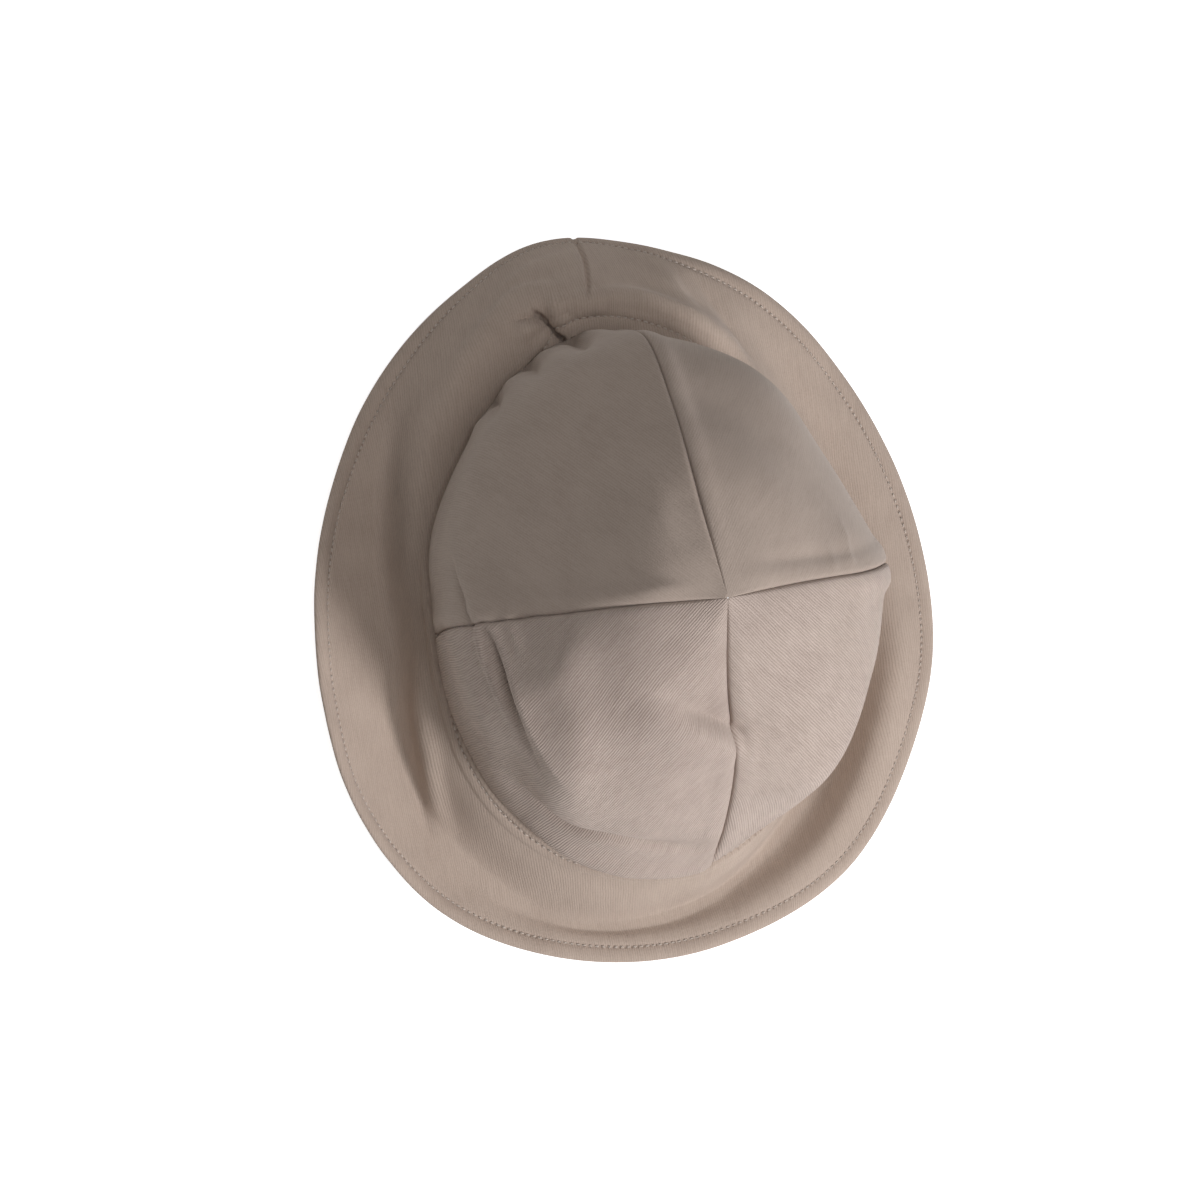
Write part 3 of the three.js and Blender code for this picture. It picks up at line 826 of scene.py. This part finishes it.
    def maps(self) -> dict[str, Array]:
        """UV coordinates in mm for one face: the knit's, and one along each stitched edge."""
        wrap = np.arange(self.columns + 1) % self.columns
        turn = np.radians(angle_at(self.places()))[:, None]
        reach, length = self.reach[wrap], self.length[wrap][:, None]
        flat = np.hypot(self.middle[wrap, :1, 0], self.middle[wrap, :1, 1]) + reach
        uv = {"knit": (flat * np.cos(turn), flat * np.sin(turn)),
              "rim": (self.stitch_run(-1, RIM_STITCH)[:, None], length - reach - self.hem),
              "foot": (self.stitch_run(0, FOOT_STITCH)[:, None], reach - self.topstitch(np.degrees(turn)))}
        return {title: np.stack(np.broadcast_arrays(*pair), -1) for title, pair in uv.items()}

    def build(self) -> None:
        upper, lower = self.faces()
        rows = upper.shape[1]
        loop = np.concatenate([upper, lower[:, -2::-1]], 1)
        corners, quads = loop_faces(loop, True)
        corners, quads = corners[:, ::-1], quads[:, ::-1]
        row_of = np.concatenate([np.arange(rows), np.arange(rows - 1)[::-1], [0]])
        maps = {title: uv[corners[..., 0], row_of[corners[..., 1]]] for title, uv in self.maps().items()}
        piece = make_piece("brim_double_jersey", self.finish.make(), loop, quads, maps)
        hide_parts("brim")
        log.info("brim: %d columns of %d points, rim %.0f mm round", *loop.shape[:2],
                 arc_lengths(self.middle[:, -1])[-1])


# ---- Crown ---------------------------------------------------------------------------------

@dataclass(frozen=True)
class Side:
    """How a panel's cloth stands beside one of its seams."""

    puff: float          # how far it swells next to the seam, mm
    away: float = 4.0    # where the swell is highest, mm from the seam
    spread: float = 3.0  # the swell's width, mm


@dataclass(frozen=True)
class CrownPanel:
    """One of the crown's four panels, with its edges rolled into the seams and turned inside."""

    name: str
    node: str
    first: int           # section number of its first seam
    last: int            # section number of its last seam
    before: Side
    after: Side
    flat: Pair           # the cloth it is cut from, metres
    flat_area: float     # square metres

    def places(self, share: Array) -> Array:
        """The place round the hat, counted in sections, at each share of the panel's width."""
        return self.first + (self.last - self.first) * share


@dataclass
class Crown:
    """The four-panel crown, sewn of single jersey."""

    half: float = 0.4              # half the cloth's thickness, mm
    groove: float = 1.5            # how deep the seams sink, mm
    groove_spread: float = 0.6
    gap: float = 0.398             # from a seam's middle to either cloth's middle, mm
    allowance: tuple[Pair, ...] = (   # the turned edge: distance into the panel, depth
        (0.42, 2.1), (0.8, 2.3), (1.5, 2.05), (2.6, 1.6), (4.2, 1.3), (6.5, 1.2))
    near_seam: tuple[float, ...] = (0, 0.35, 0.7, 1.05, 1.5, 2.1, 2.9, 3.9)   # mm at the foot
    base_width: float = 118.0      # a panel's usual width at the foot, mm
    field_columns: int = 116
    near_foot: tuple[float, ...] = (0, 0.3, 0.6, 1.0, 1.5, 2.1, 2.9, 3.9)     # mm above the foot
    panel_length: float = 138.0
    field_rows: int = 140
    apex_stop: float = 0.008       # share of the last level left open at the very top
    foot_step: float = 0.02        # levels of the brim over which its slope at the foot is measured
    foot_tuck: Pair = (0.7, 0.7)   # how far the foot turns in under itself, and how high up, mm
    foot_clear: float = 0.15       # between the foot and the brim, mm
    foot_calm: Pair = (-1.0, 5.0)  # where folds and swells set in, mm above the foot
    seam_calm: Pair = (2.0, 12.0)  # where the swells beside the seams set in, mm above the foot
    seam_full: Pair = (6.0, 40.0)  # widths between which those swells grow to their full height, mm
    ring_end: float = 2.0          # level up to which the four panels share one smooth ring
    hip: float = 6.0               # how far from a seam its shared direction is felt, mm
    seam_rise: float = 2.0         # how soon the swell beside a seam rises from it, mm
    full_roll: float = 24.0        # narrower stretches near the top have shallower seams, mm
    least_width: float = 1e-3      # mm
    panels: tuple[CrownPanel, ...] = (
        CrownPanel("crown_back_right_jersey", "crown_back_right", 0, 3, Side(0.9, 4.5, 3.5), Side(0.5),
                   (0.118, 0.146), 0.0123),
        CrownPanel("crown_back_left_jersey", "crown_back_left", 3, 7, Side(0.2), Side(1.0, 4.0, 2.6),
                   (0.128, 0.146), 0.0127),
        CrownPanel("crown_front_left_jersey", "crown_front_left", 7, 11, Side(0.1), Side(0.5),
                   (0.140, 0.146), 0.0138),
        CrownPanel("crown_front_right_jersey", "crown_front_right", 11, 14, Side(0.6), Side(0.2),
                   (0.121, 0.146), 0.0118),
    )
    front: BrushedCottonJersey = BrushedCottonJersey("brushed_cotton_jersey_front", "b8a699", "8c7a6e")
    # The back panels' copy is darker than the front's: painted shade for the side turned away from the key
    # light. Its ribs and streaks are fainter too.
    back: BrushedCottonJersey = BrushedCottonJersey(
        "brushed_cotton_jersey_back_painted_shade", "a9988a", "817164", rib=0.04, furrow_shade=0.96, streak=0.05)
    swells: tuple[Ripple, ...] = (Ripple(21, 30.0, 0.45), Ripple(22, 11.0, 0.12))
    cloths: list[Cloth] = field(init=False, repr=False)     # the panels' middle surfaces

    def foot_levels(self, brim: Brim) -> Array:
        """The level at which each section of the crown meets the brim's upper face."""
        points = brim_points()
        step = spline(points, np.array([self.foot_step]), False)[0] - points[0]
        rise = step[:, 2] / np.hypot(step[:, 0], step[:, 1])
        steep = np.hypot(1, rise)
        face = brim.half + brim.band_height + self.foot_clear
        clear = np.where(rise > 0, steep * face + rise * self.half, face / steep)
        return clear / np.array([s.wall[1] - s.base[1] for s in SECTIONS])

    def raw_panel(self, panel: CrownPanel, feet: Array) -> Cloth:
        """One panel's middle surface before its folds.

        Args:
            panel: the panel.
            feet: every section's foot level.

        Returns:
            The panel's cloth, with its own normals.
        """
        rise, end = self.rises(), CROWN_SPAN - self.apex_stop
        profiles = []
        for section, foot in zip(SECTIONS, feet):
            upper = [on_circle(section.angle + section.lean * share, getattr(section, level))
                     for level, share in LEAN_SHARE.items()]
            points = np.array([on_circle(section.angle, section.base), *upper, APEX])
            profiles.append(spline(points, foot + (end - foot) * rise, False))
        profiles = np.array(profiles)
        places = panel.places(self.shares())
        ring = spline(profiles, places, True)
        own_rows = [k % len(SECTIONS) for k in range(panel.first, panel.last + 1)]
        own = spline(profiles[own_rows], places - panel.first, False)
        foot = np.interp(places, range(len(feet) + 1), [*feet, feet[0]])[:, None]
        level = foot + (end - foot) * rise[None]
        # Low down the crown is one smooth ring; towards the top each panel bends on its own.
        own_share = smoothstep(level, 0, self.ring_end)[..., None]
        grid = ring * (1 - own_share) + own * own_share
        return Cloth(grid, grid_normals(grid, False), angle_at(places), level, arc_lengths(grid, 1))

    def shares(self) -> Array:
        """Places across a panel, fine beside both seams."""
        edge = np.array(self.near_seam) / self.base_width
        inner = np.linspace(edge[-1], 1 - edge[-1], self.field_columns + 2)[1:-1]
        return np.concatenate([edge, inner, 1 - edge[::-1]])

    def rises(self) -> Array:
        """Places up a panel, from 0 at its foot to 1 at the top, fine beside the foot."""
        edge = np.array(self.near_foot) / self.panel_length
        return np.concatenate([edge, np.linspace(edge[-1], 1, self.field_rows + 1)[1:]])

    def shape(self, brim: Brim) -> None:
        """Works out the four folded middle surfaces, with normals that agree along every seam."""
        feet = self.foot_levels(brim)
        plain = self.share_normals([self.raw_panel(panel, feet) for panel in self.panels])
        folded = []
        for panel, cloth in zip(self.panels, plain):
            lift = fold_heights(CROWN_FOLDS, plain, cloth.grid, cloth.normals)
            lift += sum(ripple.at(cloth.grid) for ripple in self.swells)
            lift *= smoothstep(cloth.above, *self.foot_calm)
            lift += self.beside_seams(panel, cloth.grid) * smoothstep(cloth.above, *self.seam_calm)
            folded.append(cloth._replace(grid=cloth.grid + cloth.normals * lift[..., None]))
        self.cloths = self.share_normals(folded)

    def share_normals(self, cloths: list[Cloth]) -> list[Cloth]:
        """The cloths with one normal along each seam that two share, easing to their own beside it."""
        own = [grid_normals(cloth.grid, False) for cloth in cloths]
        seams = [unit(before[-1:] + after[:1]) for before, after in zip(own, own[1:] + own[:1])]
        shared = []
        for k, (cloth, normals) in enumerate(zip(cloths, own)):
            across, width = self.widths(cloth.grid)
            for distance, seam in ((across, seams[k - 1]), (width - across, seams[k])):
                share = smoothstep(distance, 0, self.hip)[..., None]
                normals = unit(seam * (1 - share) + normals * share)
            shared.append(cloth._replace(normals=normals))
        return shared

    def widths(self, grid: Array) -> tuple[Array, Array]:
        """Each point's distance from the panel's first seam, and each row's whole width, in mm."""
        across = arc_lengths(grid)
        return across, across[-1:]

    def beside_seams(self, panel: CrownPanel, grid: Array) -> Array:
        """How far the cloth swells next to the panel's seams, mm."""
        across, width = self.widths(grid)
        swell = np.zeros(across.shape)
        for side, distance in ((panel.before, across), (panel.after, width - across)):
            swell += side.puff * (np.exp(-((distance - side.away) / side.spread) ** 2)
                                  - np.exp(-(side.away / side.spread) ** 2 - distance / self.seam_rise))
        return swell * smoothstep(width, *self.seam_full)

    def fit(self, width: Array) -> Array:
        """How much of a full seam each row is wide enough for, going smoothly to 1."""
        return (1 + (self.full_roll / np.maximum(width, self.least_width)) ** 3) ** (-1 / 3)

    def sewn(self, cloth: Cloth) -> Array:
        """Rolls a panel's two edges into their seams, turns them inside and tucks in the foot."""
        across, width = self.widths(cloth.grid)
        fit = self.fit(width)
        inward = unit(np.gradient(cloth.grid, axis=0))
        inward = unit(inward - cloth.normals * np.sum(inward * cloth.normals, -1, keepdims=True))
        tuck = self.foot_tuck[0] * np.exp(-cloth.above / self.foot_tuck[1])
        shift, sink, turned = np.zeros(across.shape), tuck.copy(), []
        for distance, sign in ((across, 1), (width - across, -1)):
            shift += sign * self.gap * fit * np.exp(-distance / fit)
            sink += self.groove * fit * np.exp(-distance / (self.groove_spread * fit))
            turned.append([self.inside(cloth, distance[::sign], sign, tuck, fit[0], edge)
                           for edge in self.allowance[::-sign]])
        rolled = cloth.grid + inward * shift[..., None] - cloth.normals * sink[..., None]
        return np.concatenate([np.array(turned[0]), rolled, np.array(turned[1])])

    def inside(self, cloth: Cloth, distance: Array, sign: int, tuck: Array, fit: Array,
               edge: Pair) -> Array:
        """A line under the panel, where its turned edge lies.

        Args:
            cloth: the panel's middle surface.
            distance: each point's distance from the edge's seam in mm, rising.
            sign: 1 for the panel's first seam and -1 for its last.
            tuck: how far each point's foot is turned under, mm.
            fit: each row's share of a full roll.
            edge: how far from the seam the line lies, and how far under the cloth, mm.

        Returns:
            One point for each row.
        """
        under = cloth.grid - cloth.normals * (edge[1] * fit + tuck)[..., None]
        return np.array([along(under[::sign, row], distance[:, row], edge[0] * fit[row])
                         for row in range(distance.shape[1])])

    def knit_map(self, grid: Array) -> Array:
        """UV coordinates in mm, with the wales running up the middle of the panel."""
        across = arc_lengths(grid)
        middle = len(grid) // 2
        return np.stack(np.broadcast_arrays(across - across[middle], arc_lengths(grid[middle])), -1)

    def build(self) -> None:
        front, back = self.front.make(), self.back.make()
        for panel, cloth in zip(self.panels, self.cloths):
            middle = self.sewn(cloth)
            columns, rows = middle.shape[:2]
            half = self.half * self.fit(self.widths(cloth.grid)[1])
            offset = grid_normals(middle, False) * half[..., None]
            loop = np.concatenate([middle + offset, (middle - offset)[:, ::-1]], 1)
            # The cut edges at both ends of the grid are closed as well.
            rise = np.arange(rows - 1)
            edge = np.stack([rise, rise + 1, 2 * rows - 2 - rise, 2 * rows - 1 - rise], 1)
            last = edge[:, ::-1] + (columns - 1) * 2 * rows
            quads = np.concatenate([loop_faces(loop, False)[1], edge, last])
            uv = self.knit_map(middle)
            uv = np.concatenate([uv, uv[:, ::-1]], 1).reshape(-1, 2)[quads]
            # The back panels take the darker copy, whose colour holds painted shade.
            piece = make_piece(panel.name, front if "front" in panel.name else back,
                               loop, quads, {"knit": uv})
            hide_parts(panel.node)
            cells = np.cross(np.diff(middle, axis=0)[:, :-1], np.diff(middle, axis=1)[:-1])
            log.info("%s: %d x %d points, %.5f square metres", panel.name, columns, rows,
                     np.linalg.norm(cells, axis=2).sum() * MILLIMETRE ** 2)


@dataclass
class SeamAllowance:
    """The crown's and the brim's trimmed edges, turned up together inside the crown's foot."""

    height: float = 8.0
    lowest: float = 0.4        # where it starts, mm above the foot
    half: float = 0.7
    inset: Pair = (1.1, 2.1)   # from the crown's middle surface to its own, low down and higher up, mm
    slant: Pair = (-0.8, 1.6)  # between these heights it moves from the one to the other, mm
    rows: int = 10
    blunt: int = 6             # how square its edges are
    edge: float = 0.05         # least share of the thickness at the edges, squared
    flat: Pair = (0.011, 0.47)
    finish: BrushedCottonJersey = BrushedCottonJersey("brushed_cotton_jersey_edge", "ad9c8e", "85756a")

    def build(self, crown: Crown) -> None:
        """Builds the turned-up edge as a closed band round the inside."""
        rise = np.linspace(self.lowest, self.height, self.rows)
        lines = []
        for cloth in crown.cloths:
            start, end = self.inset
            inset = start + (end - start) * smoothstep(cloth.above, *self.slant)
            inner = cloth.grid - cloth.normals * inset[..., None]
            lines += [along(line, up, rise) for up, line in zip(cloth.above, inner)][:-1]
        middle = np.array(lines)
        half = self.half * np.sqrt(np.clip(1 - np.linspace(-1, 1, self.rows) ** self.blunt, self.edge, 1))
        offset = grid_normals(middle, True) * half[:, None]
        loop = np.concatenate([middle + offset, (middle - offset)[:, ::-1]], 1)
        corners, quads = loop_faces(loop, True)
        run = arc_lengths(np.concatenate([middle[:, 0], middle[:1, 0]]))
        up = np.concatenate([rise, rise[::-1], rise[:1]])
        uv = np.stack([run[corners[..., 0]], up[corners[..., 1]]], -1)
        piece = make_piece("crown_foot_seam_allowance", self.finish.make(), loop, quads,
                           {"knit": uv})
        log.info("seam allowance: %.0f mm round", run[-1])


# ---- Stitches ------------------------------------------------------------------------------

@dataclass
class StitchRow:
    """A row of thread stitches that lie in the cloth from one needle hole to the next."""

    name: str
    pitch: float
    finish: CottonThread
    radius: float = 0.27
    reach: float = 0.36      # half a stitch's length, as a share of the pitch
    stand: float = 0.10      # how far a stitch's middle stands out of the cloth, mm
    dive: float = 0.22       # how much lower its ends lie, mm
    blunt: float = 0.02      # least share of the radius at its ends, squared
    sides: int = 6
    bands: int = 6

    def build(self, path: Array, normals: Array) -> None:
        """Builds the whole row as one piece.

        Args:
            path: points along the closed line of stitching, mm.
            normals: the cloth's normal at each of them.
        """
        closed, up = np.concatenate([path, path[:1]]), np.concatenate([normals, normals[:1]])
        run = arc_lengths(closed)
        count = round(run[-1] / self.pitch)
        pitch = run[-1] / count
        turn = np.linspace(0, math.tau, self.sides, endpoint=False)
        slope = np.linspace(-1, 1, self.bands + 1)
        places = (np.arange(count)[:, None] + 0.5 + slope * self.reach) * pitch
        line, up = along(closed, run, places), unit(along(up, run, places))
        side = unit(np.cross(unit(np.gradient(line, axis=1)), up))
        line = line + up * (self.stand - self.dive * slope ** 2)[:, None]
        swell = self.radius * np.sqrt(np.maximum(1 - slope ** 2, self.blunt))[:, None, None]
        around = side[:, :, None] * np.cos(turn)[:, None] + up[:, :, None] * np.sin(turn)[:, None]
        corners = grid_corners(self.sides, self.bands)
        one = corners[..., 1] * self.sides + corners[..., 0] % self.sides
        starts = np.arange(count)[:, None, None] * self.sides * (self.bands + 1)
        quads = (starts + one).reshape(-1, 4)
        uv = np.stack(np.broadcast_arrays(places[..., None], turn * self.radius), -1).reshape(-1, 2)
        make_piece(self.name, self.finish.make(), line[:, :, None] + around * swell, quads,
                   {"twist": uv[quads]})
        log.info("%s: %d stitches, %.2f mm apart", self.name, count, pitch)


@dataclass
class Topstitching:
    """The rows of stitches that hold the brim: round its rim, on both faces, and beside the crown."""

    # its darker colour is the painted shade in the twist's grooves
    thread: CottonThread = CottonThread("spun_cotton_thread", "cfc1b3", "a99a8c")

    def build(self, brim: Brim) -> None:
        """Sews the three rows."""
        hem = brim.length - brim.hem
        beside = brim.topstitch(brim.angle[:, 0])
        for name, pitch, distance, upper in (("rim_topstitching", RIM_STITCH, hem, True),
                                             ("rim_topstitching_under", RIM_STITCH, hem, False),
                                             ("crown_seam_topstitching", FOOT_STITCH, beside, True)):
            StitchRow(name, pitch, self.thread).build(*brim.line(distance, upper))


# ---- Studio --------------------------------------------------------------------------------

@dataclass(frozen=True)
class Softbox:
    """A round soft lamp."""

    name: str
    place: tuple[float, float, float]    # where it hangs, metres
    size: float                          # its diameter, metres
    power: float                         # watts


@dataclass
class Studio:
    """A white table under a wide softbox overhead, with a key light from the hat's front right."""

    table_size: float = 6.0
    key: Softbox = Softbox("key_softbox", (0.71, -1.02, 0.88), 0.42, 19.5)
    overhead: Softbox = Softbox("overhead_softbox", (-0.03, 0.04, 1.54), 1.2, 10.2)
    light_aim: tuple[float, float, float] = (0.0, 0.0, 0.04)
    light_colour: tuple[float, float, float] = (0.96, 0.985, 1.05)
    sky: float = 0.08
    sky_colour: tuple[float, float, float, float] = (1.0, 0.995, 0.985, 1.0)
    roll: float = 10.0          # degrees that the camera is turned about its own view
    tilt: float = 14.0          # degrees that it leans to the hat's left
    distance: float = 1300.0    # mm
    lens: float = 122.8
    sensor: float = 36.0
    aim: Pair = (10.16, 0.95)   # mm that the view's middle lies left of and below
    aim_height: float = 22.0    # a point this high on the axis
    table: PaintedTable = PaintedTable("painted_white_table", "f4f3f1", 0.8, 0.2)

    def build(self) -> None:
        """Sets up the table, the lights and the camera."""
        self.build_table()
        self.build_lights()
        self.build_camera()
        bpy.context.scene.view_settings.view_transform = "Standard"
        log.info("studio: camera, two softboxes and table")

    def build_table(self) -> None:
        """Lays the table top, level with the hat's lowest point."""
        half = self.table_size / 2
        mesh = bpy.data.meshes.new("table_top")
        corners = [(-half, -half, 0), (half, -half, 0), (half, half, 0), (-half, half, 0)]
        mesh.from_pydata(corners, [], [(0, 1, 2, 3)])
        mesh.materials.append(self.table.make())
        self.hang("table_top", mesh, Matrix())

    def build_lights(self) -> None:
        """Hangs the two softboxes and whitens the room."""
        for box in (self.key, self.overhead):
            lamp = bpy.data.lights.new(box.name, "AREA")
            lamp.shape = "DISK"
            lamp.size = box.size
            lamp.energy = box.power
            lamp.color = self.light_colour
            back = unit(np.array(box.place) - self.light_aim)
            right = unit(np.cross([0.0, 0.0, 1.0], back))
            self.hang(box.name, lamp, self.placed(right, np.cross(back, right), back, box.place))
        world = bpy.data.worlds.new("white_room")
        world.use_nodes = True
        background = world.node_tree.nodes["Background"]
        background.inputs["Color"].default_value = self.sky_colour
        background.inputs["Strength"].default_value = self.sky
        bpy.context.scene.world = world

    def placed(self, *columns: Array) -> Matrix:
        """A placing from three axes and a point."""
        rows = np.eye(4)
        rows[:3] = np.stack(columns, 1)
        return Matrix(rows.tolist())

    def hang(self, name: str, data: bpy.types.ID, placing: Matrix) -> bpy.types.Object:
        """Puts a thing of the studio into the scene."""
        thing = bpy.data.objects.new(name, data)
        thing.matrix_world = placing
        bpy.context.scene.collection.objects.link(thing)
        return thing

    def build_camera(self) -> None:
        """Hangs the camera above the hat, leaning a little to its left."""
        roll, tilt = math.radians(self.roll), math.radians(self.tilt)
        level = np.array([math.cos(roll), -math.sin(roll), 0])
        up = np.array([math.sin(roll), math.cos(roll), 0])
        height = np.array([0.0, 0.0, 1.0])
        right = math.cos(tilt) * level + math.sin(tilt) * height
        back = math.cos(tilt) * height - math.sin(tilt) * level
        aim = height * self.aim_height - right * self.aim[0] - up * self.aim[1]
        lens = bpy.data.cameras.new("camera")
        lens.lens = self.lens
        lens.sensor_width = self.sensor
        placing = self.placed(right, up, back, to_frame(aim + back * self.distance))
        bpy.context.scene.camera = self.hang("camera", lens, placing)


def main() -> None:
    """Builds the hat and its studio."""
    logging.basicConfig(level=logging.INFO, format="%(name)s %(message)s")
    Studio().build()
    brim = Brim()
    brim.shape()
    brim.build()
    crown = Crown()
    crown.shape(brim)
    crown.build()
    SeamAllowance().build(crown)
    Topstitching().build(brim)


if __name__ == "__main__":
    main()
